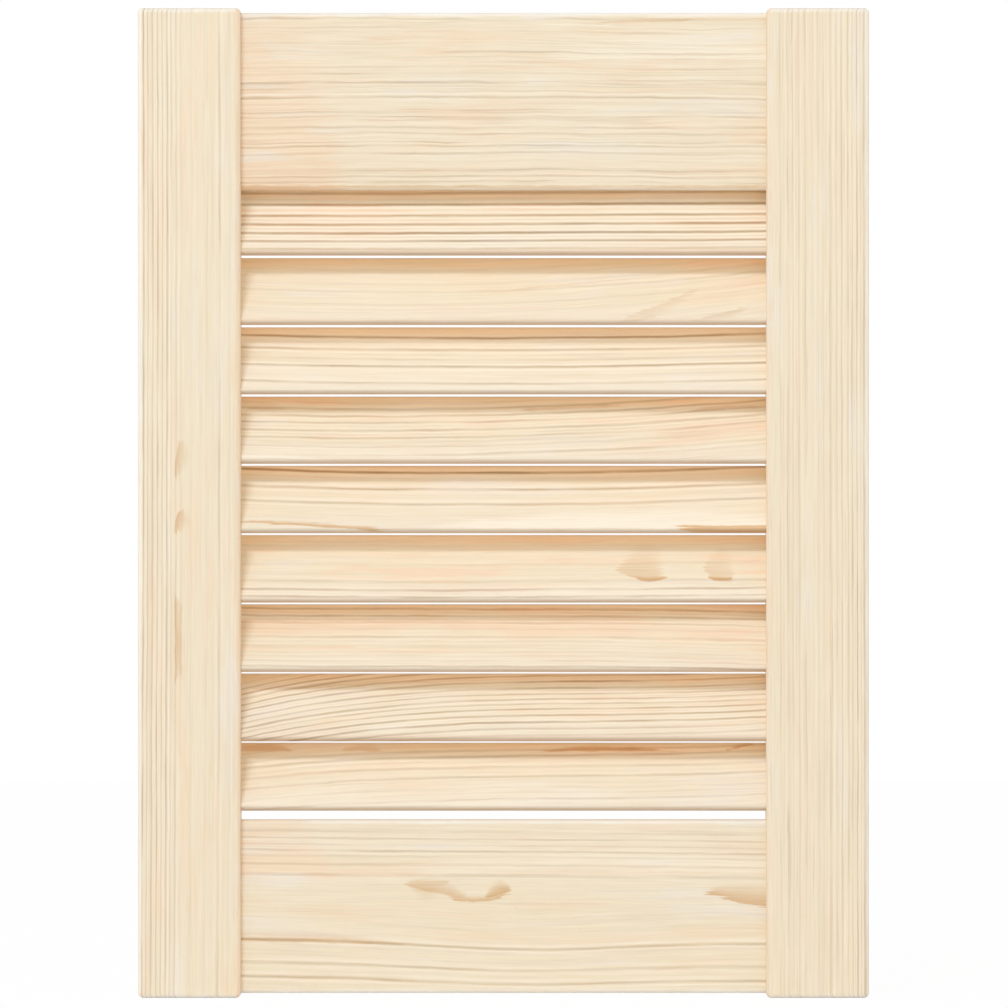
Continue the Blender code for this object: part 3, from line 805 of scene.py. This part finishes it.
def pine_tone_group():
    """Colour, roughness and relief of pine from its masks."""
    masks = ("Latewood", "Pale", "Flames", "Fibre", "Ducts", "Blush")
    masks += ("Chalk", "Shelter", "Nose", "Worn", "End")
    numbers = {label: 0.0 for label in masks} | {"Roughness": 0.6}
    colours = [socket_label(tone) for tone in TONES]
    outputs = [("Color", "NodeSocketColor"), ("Roughness", "NodeSocketFloat"), ("Height", "NodeSocketFloat")]
    wiring, given, wanted = shader_group("Pine tone", numbers, outputs, vectors=(), colours=colours)
    colour = given["Early wood"]
    # Worn wood pales the arrises, partly as sanding wear and partly as painted highlight
    for mask in ("Blush", "Chalk", "Pale", "Worn"):
        colour = wiring.mix(given[mask], colour, given[f"{mask} wood"])
    ducts = wiring.math("MULTIPLY", given["Ducts"], DUCT_DEPTH)
    tints = [(given["Flames"], "Flame"), (given["Latewood"], "Late"), (ducts, "Late")]
    # Painted shade tints the slats where the slat above shades them, and darkens their round edges
    tints += [(given[mask], mask) for mask in ("Shelter", "Nose", "End")]
    for mask, tint in tints:
        colour = wiring.mix(mask, colour, given[f"{tint} tint"], "MULTIPLY")
    swings = [wiring.span(given["Fibre"], 1 - swing, 1 + swing) for swing in FIBRE_SWINGS]
    streaks = wiring.node("ShaderNodeCombineColor", dict(enumerate(swings))).outputs[0]
    wiring.feed(wanted["Color"], wiring.mix(1.0, colour, streaks, "MULTIPLY"))
    roughness = wiring.math("MULTIPLY_ADD", given["Latewood"], -0.12, given["Roughness"])
    roughness = wiring.math("MULTIPLY_ADD", given["End"], 0.15, roughness)
    roughness = wiring.math("ADD", roughness, wiring.span(given["Fibre"], -0.06, 0.06))
    wiring.feed(wanted["Roughness"], roughness)
    height = wiring.math("MULTIPLY_ADD", given["Fibre"], 0.4, wiring.math("MULTIPLY", given["Latewood"], 0.8))
    wiring.feed(wanted["Height"], wiring.math("MULTIPLY_ADD", given["Ducts"], -0.5, height))
    return wiring.tree


def once(make, name):
    """The node group of that name, made the first time that it is asked for."""
    return bpy.data.node_groups.get(name) or make()


def line_stops(lines, width):
    """Places and levels of the ramp stops that draw sorted lines, each with pale wood on both sides.

    The deeper a line, the paler the wood beside it, and near neighbours share the room between them.
    """
    stops = []
    for index, (centre, depth) in enumerate(lines):
        before = lines[index - 1][0] if index else -math.inf
        after = lines[index + 1][0] if index + 1 < len(lines) else math.inf
        pale = PLAIN_LEVEL * max(0.0, 1 - 1.3 * depth)
        for side, neighbour in ((-1, before), (1, after)):
            room = abs(neighbour - centre) / 2
            palest_at = min(PALEST_AT * width, 0.62 * room)
            plain_at = min(2.4 * palest_at, 0.99 * room)
            stops.append((centre + side * plain_at, PLAIN_LEVEL))
            stops.append((centre + side * palest_at, pale))
        stops.append((centre, PLAIN_LEVEL + (1 - PLAIN_LEVEL) * depth))
    return stops


def line_masks(wiring, ring, lines, half, width):
    """Masks of a board's strong latewood lines and of the pale wood beside them."""
    place = wiring.span(ring, 0.0, 1.0, -half, half)
    late, pale = 0.0, 0.0
    ordered = sorted(lines)
    for first in range(0, len(ordered), LINES_IN_A_RAMP):
        ramp_node = wiring.node("ShaderNodeValToRGB", {"Fac": place})
        ramp = ramp_node.color_ramp
        ramp.interpolation = "EASE"
        ramp.elements.remove(ramp.elements[1])
        ramp.elements[0].color = (PLAIN_LEVEL, PLAIN_LEVEL, PLAIN_LEVEL, 1)
        chosen = ordered[first : first + LINES_IN_A_RAMP]
        for stop, level in line_stops(chosen, width):
            ramp.elements.new((stop + half) / (2 * half)).color = (level, level, level, 1)
        level = ramp_node.outputs["Color"]
        late = wiring.math("MAXIMUM", late, wiring.span(level, 0.0, 1.0, PLAIN_LEVEL, 1.0))
        pale = wiring.math("MAXIMUM", pale, wiring.span(level, 1.0, 0.0, 0.0, PLAIN_LEVEL))
    return late, pale


def flame_masks(wiring, position, shift, flames):
    """The flames of a board, as one mask for each tone."""
    masks = {"tan": 0.0, "pale": 0.0, "blush": 0.0}
    for flame in flames:
        inputs = {label.capitalize(): value for label, value in asdict(flame).items() if label != "tone"}
        inputs |= {"Fade": abs(flame.fade), "Side": math.copysign(1, flame.fade)}
        inputs |= {"Position": position, "Shift": shift}
        mask = wiring.group(once(flame_group, "Flame"), inputs)["Flame"]
        masks[flame.tone] = wiring.math("MAXIMUM", masks[flame.tone], mask)
    return masks


def slat_masks(wiring, position, half_width, fibres):
    """Masks of a slat's painted shade, warm on its upper part and darker on its round edges, and of the
    painted light that whitens its lower part.
    """
    _, v, w = wiring.parts(position)
    # Slats overlap, so the front is hidden near its upper edge and the back near its lower one
    hidden = wiring.math("MULTIPLY", v, wiring.math("SIGN", w))
    streaky = wiring.span(fibres["Fibre"], 0.3, 1.7)
    # Painted shade: a warm tint on the upper front, where the slat above shades this one, and on the lower
    # back
    painted_shade = wiring.math("MULTIPLY", wiring.between(hidden, *PAINTED_SHADE_BAND), streaky)
    # Painted light: whiter wood on the lit lower front and the upper back, added to the chalk patches
    painted_light = wiring.between(hidden, *PAINTED_LIGHT_BAND, PAINTED_LIGHT_DEPTH, 0.0)
    chalk_and_painted_light = wiring.math("MAXIMUM", fibres["Chalk"], painted_light)
    # Painted shade: darker wood on the round edges
    nose_shade = wiring.between(wiring.math("ABSOLUTE", v), half_width - NOSE_SHADE_REACH, half_width)
    return {"Shelter": painted_shade, "Chalk": chalk_and_painted_light, "Nose": nose_shade}


def tone_colours(finish, tint):
    """The colours of the finish for the tone group, with the tint over all woods."""
    colours = {}
    for tone in TONES:
        colour = getattr(finish, tone)
        if tone.endswith("wood"):
            colour = [channel * share for channel, share in zip(colour, tint)]
        colours[socket_label(tone)] = (*colour, 1.0)
    return colours


def new_wood(name):
    """A new material, the wiring of its tree and its Object coordinates."""
    material = bpy.data.materials.new(name)
    material.use_nodes = True
    wiring = Wiring(material.node_tree)
    return material, wiring, wiring.node("ShaderNodeTexCoord").outputs["Object"]


def finish_wood(wiring, colour, roughness, height, relief):
    """Feeds a wood's colour, roughness and relief to its shader."""
    shader = wiring.tree.nodes["Principled BSDF"]
    wiring.feed(shader.inputs["Base Color"], colour)
    wiring.feed(shader.inputs["Roughness"], roughness)
    shader.inputs["Specular IOR Level"].default_value = WOOD_SPECULAR
    bump = wiring.node("ShaderNodeBump", {"Height": height, "Distance": relief})
    wiring.feed(shader.inputs["Normal"], bump.outputs["Normal"])


def pine(name, centre, turn, half_size, grain, finish, is_slat=False):
    """The bare pine of one board, whose frame is given by its centre, turn and half sizes in mm."""
    material, wiring, place = new_wood(name)
    frame_inputs = {"Vector": place, "Location": centre, "Rotation": turn, "Scale": [MILLIMETRE] * 3}
    position = wiring.node("ShaderNodeMapping", frame_inputs, vector_type="TEXTURE").outputs[0]
    shift = [grain.seed * step for step in NOISE_STEPS]

    flow_inputs = {"Position": position, "Shift": shift, "Front": half_size[2]}
    flow_inputs |= dict(zip(SWIRL, grain.swirl))
    for label in ("rise", "bow", "twist", "lean", "waviness", "jitter"):
        flow_inputs[label.capitalize()] = getattr(grain, label)
    flow = wiring.group(once(grain_flow_group, "Grain flow"), flow_inputs)
    ring_inputs = {"Ring": flow["Ring"], "Spacing": grain.spacing, "Seed": grain.seed * RING_STEP}
    rings = wiring.group(once(growth_ring_group, "Growth rings"), ring_inputs)["Latewood"]
    fibres = wiring.group(once(fibre_group, "Fibres"), {"Grain": flow["Grain"], "Shift": shift})
    arris_inputs = {"Position": position, "Half size": half_size, "Shift": shift}
    arris = wiring.group(once(arris_group, "Arris"), arris_inputs)

    reach = max(half_size[1], *(abs(across) for across, _ in grain.lines)) + RAMP_MARGIN
    late, pale = line_masks(wiring, flow["Ring"], grain.lines, reach, grain.line_width)
    strength = wiring.between(fibres["Fade"], 0.28, 0.72, 1 - grain.fading, 1 + grain.fading)
    late = wiring.math("MULTIPLY", late, strength)
    patchy_rings = wiring.math("MULTIPLY", rings, wiring.between(fibres["Fade"], 0.35, 0.65))
    patchy_rings = wiring.math("MULTIPLY", patchy_rings, 1.8)
    fine_lines = wiring.math("MULTIPLY_ADD", fibres["Streak"], 1.5, patchy_rings)
    late = wiring.math("MULTIPLY_ADD", fine_lines, grain.ring_depth, late, clamp=True)
    flames = flame_masks(wiring, position, shift, grain.flames)
    # Wear and painted highlight on the arrises, except under blush flames
    wear = wiring.math("SUBTRACT", grain.wear, flames["blush"], clamp=True)
    blush = wiring.math("MULTIPLY", fibres["Blush"], grain.blush)

    tone_inputs = {label: fibres[label] for label in ("Fibre", "Ducts", "Chalk")}
    tone_inputs |= {"Latewood": late, "Pale": wiring.math("MAXIMUM", pale, flames["pale"])}
    tone_inputs |= {"Blush": wiring.math("MAXIMUM", blush, flames["blush"]), "Flames": flames["tan"]}
    tone_inputs |= {"Worn": wiring.math("MULTIPLY", arris["Worn"], wear), "End": arris["End"]}
    if is_slat:
        tone_inputs |= slat_masks(wiring, position, half_size[1], fibres)
    tone_inputs |= tone_colours(finish, finish.slat_tint if is_slat else (1, 1, 1))
    tone_inputs["Roughness"] = finish.roughness
    tone = wiring.group(once(pine_tone_group, "Pine tone"), tone_inputs)
    finish_wood(wiring, tone["Color"], tone["Roughness"], tone["Height"], finish.relief)
    return material


def beech(finish):
    """Beech of the dowels: short ray flecks and fine fibres along X."""
    material, wiring, place = new_wood("beech_dowel")
    position = wiring.vector("SCALE", place)
    position.node.inputs["Scale"].default_value = 1 / MILLIMETRE
    fibres = wiring.noise(position, (9.0, 0.5, 0.5), [3.0, 1.0, 7.0], detail=3.0)
    flecks = wiring.between(wiring.noise(position, (1.8, 0.35, 0.35), [0.0, 0.0, 0.0]), 0.60, 0.74)
    body, fleck = (*finish.body, 1.0), (*finish.fleck, 1.0)
    colour = wiring.mix(wiring.span(fibres, 0.0, 0.45), body, fleck)
    colour = wiring.mix(wiring.math("MULTIPLY", flecks, 0.7), colour, fleck)
    roughness = wiring.math("ADD", wiring.span(fibres, -0.08, 0.08), finish.roughness)
    height = wiring.math("SUBTRACT", fibres, flecks)
    finish_wood(wiring, colour, roughness, height, finish.relief)
    return material


def turn_of(along, across):
    """The turn of a board's frame, whose u and v run along these directions."""
    return Matrix((along, across, along.cross(across))).transposed().to_euler()


def add_object(name, data):
    """A new object in the scene, at the origin."""
    made = bpy.data.objects.new(name, data)
    bpy.context.scene.collection.objects.link(made)
    return made


def built_object(name, bm):
    """A new object with the mesh that was built, which is freed."""
    mesh = bpy.data.meshes.new(name)
    bm.to_mesh(mesh)
    bm.free()
    return add_object(name, mesh)


def settle(made):
    """Turns what an object's modifiers make into its plain mesh, and removes them."""
    evaluated = made.evaluated_get(bpy.context.evaluated_depsgraph_get())
    mesh = bpy.data.meshes.new_from_object(evaluated)
    made.modifiers.clear()
    old = made.data
    made.data = mesh
    mesh.name = made.name
    bpy.data.meshes.remove(old)
    return made


def smooth_rounds(made):
    """Shades the rounded edges smooth while the flat faces stay flat."""
    made.data.shade_smooth()
    made.data.set_sharp_from_angle(angle=SHARP_ANGLE)
    weighted = made.modifiers.new("flat_faces", "WEIGHTED_NORMAL")
    weighted.mode = "FACE_AREA"
    weighted.weight = 100
    weighted.keep_sharp = True
    return settle(made)


def hand_over(made, material, node):
    """Gives a finished piece its material and puts it in the place of a CAD node."""
    made.data.materials.clear()
    made.data.materials.append(material)
    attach(made, "root")
    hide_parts(node)


def board(name, box, rounded, steps, all_edges):
    """A board that fills a box, with rounded edges along X or along every side."""
    low, high = box
    bm = bmesh.new()
    bmesh.ops.create_cube(bm, size=1.0)
    bmesh.ops.scale(bm, vec=high - low, verts=bm.verts)
    bmesh.ops.translate(bm, vec=(low + high) / 2, verts=bm.verts)
    edges = [edge for edge in bm.edges if all_edges or abs((edge.verts[1].co - edge.verts[0].co).x) > 0]
    bmesh.ops.bevel(
        bm, geom=edges, offset=rounded, segments=steps, profile=0.5, affect="EDGES", clamp_overlap=True
    )
    bmesh.ops.recalc_face_normals(bm, faces=bm.faces)
    return built_object(name, bm)


def dowel_hole_cutter(sizes):
    """All dowel holes as one cutter."""
    bm = bmesh.new()
    for name in DOWELS:
        low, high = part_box(name)
        radius = ((high - low).z / 2 + sizes.fit) / math.cos(math.pi / sizes.hole_steps)
        length = (high - low).x + 2 * sizes.dowel_end_room
        placed = Matrix.Translation((low + high) / 2) @ Matrix.Rotation(math.pi / 2, 4, "Y")
        bmesh.ops.create_cone(
            bm,
            cap_ends=True,
            segments=sizes.hole_steps,
            radius1=radius,
            radius2=radius,
            depth=length,
            matrix=placed,
        )
    return built_object("dowel_holes", bm)


def cut(made, cutters):
    """Subtracts the cutters from a board."""
    for cutter in cutters:
        boolean = made.modifiers.new("joinery", "BOOLEAN")
        boolean.operation = "DIFFERENCE"
        boolean.solver = "EXACT"
        boolean.object = cutter
    return settle(made)


def discard(objects):
    """Removes cutters that are no longer needed."""
    for old in objects:
        bpy.data.objects.remove(old)


def slat_section(sizes):
    """A slat's width and its tilt from upright, from its box and its thickness."""
    low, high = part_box("slat_1")
    straight_rise = (high - low).z - sizes.slat_thickness
    straight_depth = (high - low).y - sizes.slat_thickness
    width = math.hypot(straight_rise, straight_depth) + sizes.slat_thickness
    return width, math.atan2(straight_depth, straight_rise)


def slat_tree():
    """Geometry Nodes for round-edged slats, one above the other, that lean back by Tilt."""
    inputs = [
        ("Count", "NodeSocketInt", 1),
        ("Pitch", "NodeSocketFloat", 0.028),
        ("Height", "NodeSocketFloat", 0.2),
        ("Length", "NodeSocketFloat", 0.227),
        ("Width", "NodeSocketFloat", 0.03),
        ("Thickness", "NodeSocketFloat", 0.004),
        ("Tilt", "NodeSocketFloat", 0.48),
        ("Nose steps", "NodeSocketInt", 25),
        ("Wood", "NodeSocketMaterial", None),
    ]
    outputs = [("Slats", "NodeSocketGeometry")]
    wiring, given, wanted = new_group("Round-edged slats", "GeometryNodeTree", inputs, outputs)
    corners = wiring.math("MULTIPLY", given["Nose steps"], 2)
    half_step = wiring.math("DIVIDE", math.pi, corners)
    radius = wiring.math("MULTIPLY", given["Thickness"], 0.5)
    reach = wiring.math("SUBTRACT", wiring.math("MULTIPLY", given["Width"], 0.5), radius)
    circle = wiring.node("GeometryNodeCurvePrimitiveCircle", {"Resolution": corners, "Radius": radius})
    turned_inputs = {"Geometry": circle.outputs["Curve"], "Rotation": wiring.point(z=half_step)}
    turned = wiring.node("GeometryNodeTransform", turned_inputs)
    x, y, _ = wiring.parts(wiring.node("GeometryNodeInputPosition").outputs[0])
    outward = wiring.math("MULTIPLY", wiring.math("SIGN", y), reach)
    stadium_x = wiring.math("DIVIDE", x, wiring.math("COSINE", half_step))
    stadium = wiring.point(stadium_x, wiring.math("ADD", y, outward))
    section_inputs = {"Geometry": turned.outputs["Geometry"], "Position": stadium}
    section = wiring.node("GeometryNodeSetPosition", section_inputs)
    half_length = wiring.math("MULTIPLY", given["Length"], 0.5)
    start = wiring.point(wiring.math("MULTIPLY", half_length, -1.0))
    path_inputs = {"Start": start, "End": wiring.point(half_length)}
    path = wiring.node("GeometryNodeCurvePrimitiveLine", path_inputs)
    swept_inputs = {"Curve": path.outputs["Curve"], "Profile Curve": section.outputs["Geometry"]}
    swept = wiring.node("GeometryNodeCurveToMesh", swept_inputs | {"Fill Caps": True})
    first = wiring.point(z=given["Height"])
    step = wiring.point(z=wiring.math("MULTIPLY", given["Pitch"], -1.0))
    places_inputs = {"Count": given["Count"], "Start Location": first, "Offset": step}
    places = wiring.node("GeometryNodeMeshLine", places_inputs)
    lean = wiring.point(wiring.math("MULTIPLY", given["Tilt"], -1.0))
    slats_inputs = {"Points": places.outputs["Mesh"], "Instance": swept.outputs["Mesh"], "Rotation": lean}
    slats = wiring.node("GeometryNodeInstanceOnPoints", slats_inputs)
    real = wiring.node("GeometryNodeRealizeInstances", {"Geometry": slats.outputs["Instances"]})
    dressed = wiring.node(
        "GeometryNodeSetMaterial", {"Geometry": real.outputs["Geometry"], "Material": given["Wood"]}
    )
    wiring.feed(wanted["Slats"], dressed.outputs["Geometry"])
    return wiring.tree


def slats(name, values):
    """An object whose mesh is made by the slat tree with these values."""
    tree = once(slat_tree, "Round-edged slats")
    made = add_object(name, bpy.data.meshes.new(name))
    modifier = made.modifiers.new("slats", "NODES")
    modifier.node_group = tree
    for item in tree.interface.items_tree:
        if item.in_out == "INPUT" and item.name in values:
            modifier[item.identifier] = values[item.name]
    return settle(made)


def slat_values(node, sizes, room=0.0):
    """The slat tree's values for one slat, grown all round by some room."""
    low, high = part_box(node)
    width, tilt = slat_section(sizes)
    return {
        "Height": (low + high).z / 2,
        "Length": (high - low).x + 2 * room,
        "Width": width + 2 * room,
        "Thickness": sizes.slat_thickness + 2 * room,
        "Tilt": tilt,
        "Nose steps": sizes.nose_steps,
    }


def slot_cutter(sizes):
    """All slats, grown by the fit, as the cutter of the stiles' slots and the top rail's cove."""
    first_height = sum(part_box("slat_1"), Vector()).z / 2
    last_height = sum(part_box(f"slat_{SLAT_COUNT}"), Vector()).z / 2
    values = slat_values("slat_1", sizes, sizes.fit)
    values["Count"] = SLAT_COUNT
    values["Pitch"] = (first_height - last_height) / (SLAT_COUNT - 1)
    return slats("slat_slots", values)


def board_frame(node, along, across):
    """Centre of a node's box, the turn of its board frame, and its half sizes in mm."""
    low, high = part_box(node)
    half = (high - low) / 2
    outward = along.cross(across)
    half_size = [abs(half.dot(direction)) / MILLIMETRE for direction in (along, across, outward)]
    return (low + high) / 2, turn_of(along, across), half_size


def glued_rail_box(node, sizes):
    """A rail's box, drawn out to the stiles as the glue would close its joints."""
    low, high = (corner.copy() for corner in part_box(node))
    low.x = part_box("left_stile")[1].x + sizes.fit
    high.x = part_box("right_stile")[0].x - sizes.fit
    return low, high


def seen_by_eye(wiring):
    """Is 1 for rays from the camera and for rays that show the background in gloss or glass."""
    path = wiring.node("ShaderNodeLightPath").outputs
    seen = wiring.math("MAXIMUM", path["Is Camera Ray"], path["Is Glossy Ray"])
    return wiring.math("MAXIMUM", seen, path["Is Transmission Ray"])


def make_floor(studio):
    """A pale round floor at the door's foot, which keeps a faint shadow."""
    bm = bmesh.new()
    bmesh.ops.create_circle(bm, cap_ends=True, segments=FLOOR_SIDES, radius=studio.floor_radius)
    floor = built_object("floor", bm)
    material = bpy.data.materials.new("floor_white")
    material.use_nodes = True
    wiring = Wiring(material.node_tree)
    material.node_tree.nodes.clear()
    bounce = wiring.node("ShaderNodeBsdfDiffuse", {"Color": (*studio.floor_bounce, 1.0)})
    pale = wiring.node("ShaderNodeBsdfDiffuse", {"Color": (*studio.floor_colour, 1.0)})
    glow = wiring.node("ShaderNodeEmission", {"Color": (1, 1, 1, 1), "Strength": 1.0})
    shown = wiring.node("ShaderNodeMixShader", {0: studio.floor_glow, 1: pale.outputs[0], 2: glow.outputs[0]})
    both_inputs = {0: seen_by_eye(wiring), 1: bounce.outputs[0], 2: shown.outputs[0]}
    both = wiring.node("ShaderNodeMixShader", both_inputs)
    wiring.node("ShaderNodeOutputMaterial", {"Surface": both.outputs[0]})
    floor.data.materials.append(material)


def make_key_lamp(studio):
    """One wide, low lamp from the upper left in front: shades of uprights are soft, those of slats crisp."""
    lamp = bpy.data.lights.new("key", "AREA")
    lamp.shape = "RECTANGLE"
    lamp.size = studio.key_width
    lamp.size_y = studio.key_height
    lamp.energy = studio.key_power
    lamp.color = studio.key_colour
    made = add_object("key", lamp)
    level = math.cos(studio.key_elevation)
    towards = Vector((-math.sin(studio.key_azimuth) * level, -math.cos(studio.key_azimuth) * level, 0))
    towards.z = math.sin(studio.key_elevation)
    made.location = DOOR_CENTRE + towards * studio.key_distance
    made.rotation_euler = (-towards).to_track_quat("-Z", "Y").to_euler()


def make_surroundings(scene, studio):
    """White for the eye, and for everything else a fill light that is weaker overhead."""
    world = bpy.data.worlds.new("surroundings")
    world.use_nodes = True
    scene.world = world
    wiring = Wiring(world.node_tree)
    seen = seen_by_eye(wiring)
    direction = wiring.node("ShaderNodeTexCoord").outputs["Generated"]
    height = wiring.parts(direction)[2]
    fill = wiring.between(height, *OVERHEAD, studio.fill, studio.fill * studio.zenith)
    background = world.node_tree.nodes["Background"]
    wiring.feed(background.inputs["Color"], wiring.mix(seen, (*studio.fill_colour, 1.0), (1, 1, 1, 1)))
    wiring.feed(background.inputs["Strength"], wiring.span(seen, fill, 1.0))


def make_camera(scene, studio):
    """A long lens, square on to the door and a little above its middle."""
    lens = bpy.data.cameras.new("camera")
    lens.lens = studio.lens
    lens.sensor_width = SENSOR_WIDTH
    lens.clip_end = FAR_CLIP
    camera = add_object("camera", lens)
    aim = Vector(studio.aim)
    camera.location = (aim.x, -studio.camera_distance, studio.camera_height)
    camera.rotation_euler = (aim - camera.location).to_track_quat("-Z", "Y").to_euler()
    scene.camera = camera


class LOUVRE_OT_stiles(bpy.types.Operator):
    """Makes the two stiles, with slots for the slats and holes for the dowels"""

    bl_idname = "louvre_door.stiles"
    bl_label = "Stiles"

    def execute(self, context):
        sizes, finish = context.scene.louvre_sizes, context.scene.louvre_pine
        cutters = [slot_cutter(sizes), dowel_hole_cutter(sizes)]
        for node in ("left_stile", "right_stile"):
            made = board(f"{node}_board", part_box(node), sizes.stile_round, sizes.round_steps, all_edges=True)
            smooth_rounds(cut(made, cutters))
            material = pine(f"pine_{node}", *board_frame(node, -UP, ACROSS), GRAIN[node], finish)
            hand_over(made, material, node)
        discard(cutters)
        return {"FINISHED"}


class LOUVRE_OT_rails(bpy.types.Operator):
    """Makes the two rails, with holes for the dowels and a cove for the top slat"""

    bl_idname = "louvre_door.rails"
    bl_label = "Rails"

    def execute(self, context):
        sizes, finish = context.scene.louvre_sizes, context.scene.louvre_pine
        cutters = [slot_cutter(sizes), dowel_hole_cutter(sizes)]
        for node in ("top_rail", "bottom_rail"):
            box = glued_rail_box(node, sizes)
            made = board(f"{node}_board", box, sizes.rail_round, sizes.round_steps, all_edges=False)
            smooth_rounds(cut(made, cutters))
            centre, turn, half_size = board_frame(node, ACROSS, UP)
            half_size[0] += HIDDEN_END
            material = pine(f"pine_{node}", centre, turn, half_size, GRAIN[node], finish)
            hand_over(made, material, node)
        discard(cutters)
        return {"FINISHED"}


class LOUVRE_OT_slats(bpy.types.Operator):
    """Makes the round-edged slats, from the top one down"""

    bl_idname = "louvre_door.slats"
    bl_label = "Slats"

    def execute(self, context):
        sizes, finish = context.scene.louvre_sizes, context.scene.louvre_pine
        width, tilt = slat_section(sizes)
        turn = turn_of(ACROSS, BACK * math.sin(tilt) + UP * math.cos(tilt))
        for number in range(1, SLAT_COUNT + 1):
            node = f"slat_{number}"
            low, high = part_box(node)
            half_size = [(high - low).x / 2, width / 2, sizes.slat_thickness / 2]
            half_size = [half / MILLIMETRE for half in half_size]
            centre = (low + high) / 2
            material = pine(f"pine_{node}", centre, turn, half_size, GRAIN[node], finish, is_slat=True)
            made = slats(f"{node}_blade", slat_values(node, sizes) | {"Wood": material})
            smooth_rounds(made)
            hand_over(made, material, node)
        return {"FINISHED"}


class LOUVRE_OT_dowels(bpy.types.Operator):
    """Gives the dowels, whose solids stay, their beech"""

    bl_idname = "louvre_door.dowels"
    bl_label = "Dowels"

    def execute(self, context):
        material = beech(context.scene.louvre_beech)
        for name in DOWELS:
            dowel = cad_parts[name]
            dowel.data.materials.clear()
            dowel.data.materials.append(material)
        return {"FINISHED"}


class LOUVRE_OT_stage(bpy.types.Operator):
    """Makes the floor, the lamp, the white surroundings and the camera"""

    bl_idname = "louvre_door.stage"
    bl_label = "Stage"

    def execute(self, context):
        studio = context.scene.louvre_studio
        context.scene.view_settings.view_transform = "Standard"
        make_floor(studio)
        make_key_lamp(studio)
        make_surroundings(context.scene, studio)
        make_camera(context.scene, studio)
        return {"FINISHED"}


class LOUVRE_PT_door(bpy.types.Panel):
    """Sizes, finishes, stage and the operators that make the door"""

    bl_label = "Louvred door"
    bl_space_type = "VIEW_3D"
    bl_region_type = "UI"
    bl_category = "Louvred door"

    def draw(self, context):
        for name, settings in SETTINGS.items():
            box = self.layout.box()
            for label in settings.__annotations__:
                box.prop(getattr(context.scene, name), label)
        for operator in OPERATORS:
            self.layout.operator(operator.bl_idname)


SETTINGS = {
    "louvre_sizes": DoorSizes,
    "louvre_pine": PineFinish,
    "louvre_beech": BeechFinish,
    "louvre_studio": StudioSettings,
}
OPERATORS = (LOUVRE_OT_stiles, LOUVRE_OT_rails, LOUVRE_OT_slats, LOUVRE_OT_dowels, LOUVRE_OT_stage)
CLASSES = (*SETTINGS.values(), *OPERATORS, LOUVRE_PT_door)


def register():
    """Registers the classes and gives the scene its settings."""
    for made in CLASSES:
        bpy.utils.register_class(made)
    for name, settings in SETTINGS.items():
        setattr(bpy.types.Scene, name, PointerProperty(type=settings))


def unregister():
    """Takes back what register did."""
    for name in SETTINGS:
        delattr(bpy.types.Scene, name)
    for made in reversed(CLASSES):
        bpy.utils.unregister_class(made)


def main():
    """Makes the whole door on its stage."""
    register()
    bpy.ops.louvre_door.stiles()
    bpy.ops.louvre_door.rails()
    bpy.ops.louvre_door.slats()
    bpy.ops.louvre_door.dowels()
    bpy.ops.louvre_door.stage()


if __name__ == "__main__":
    main()
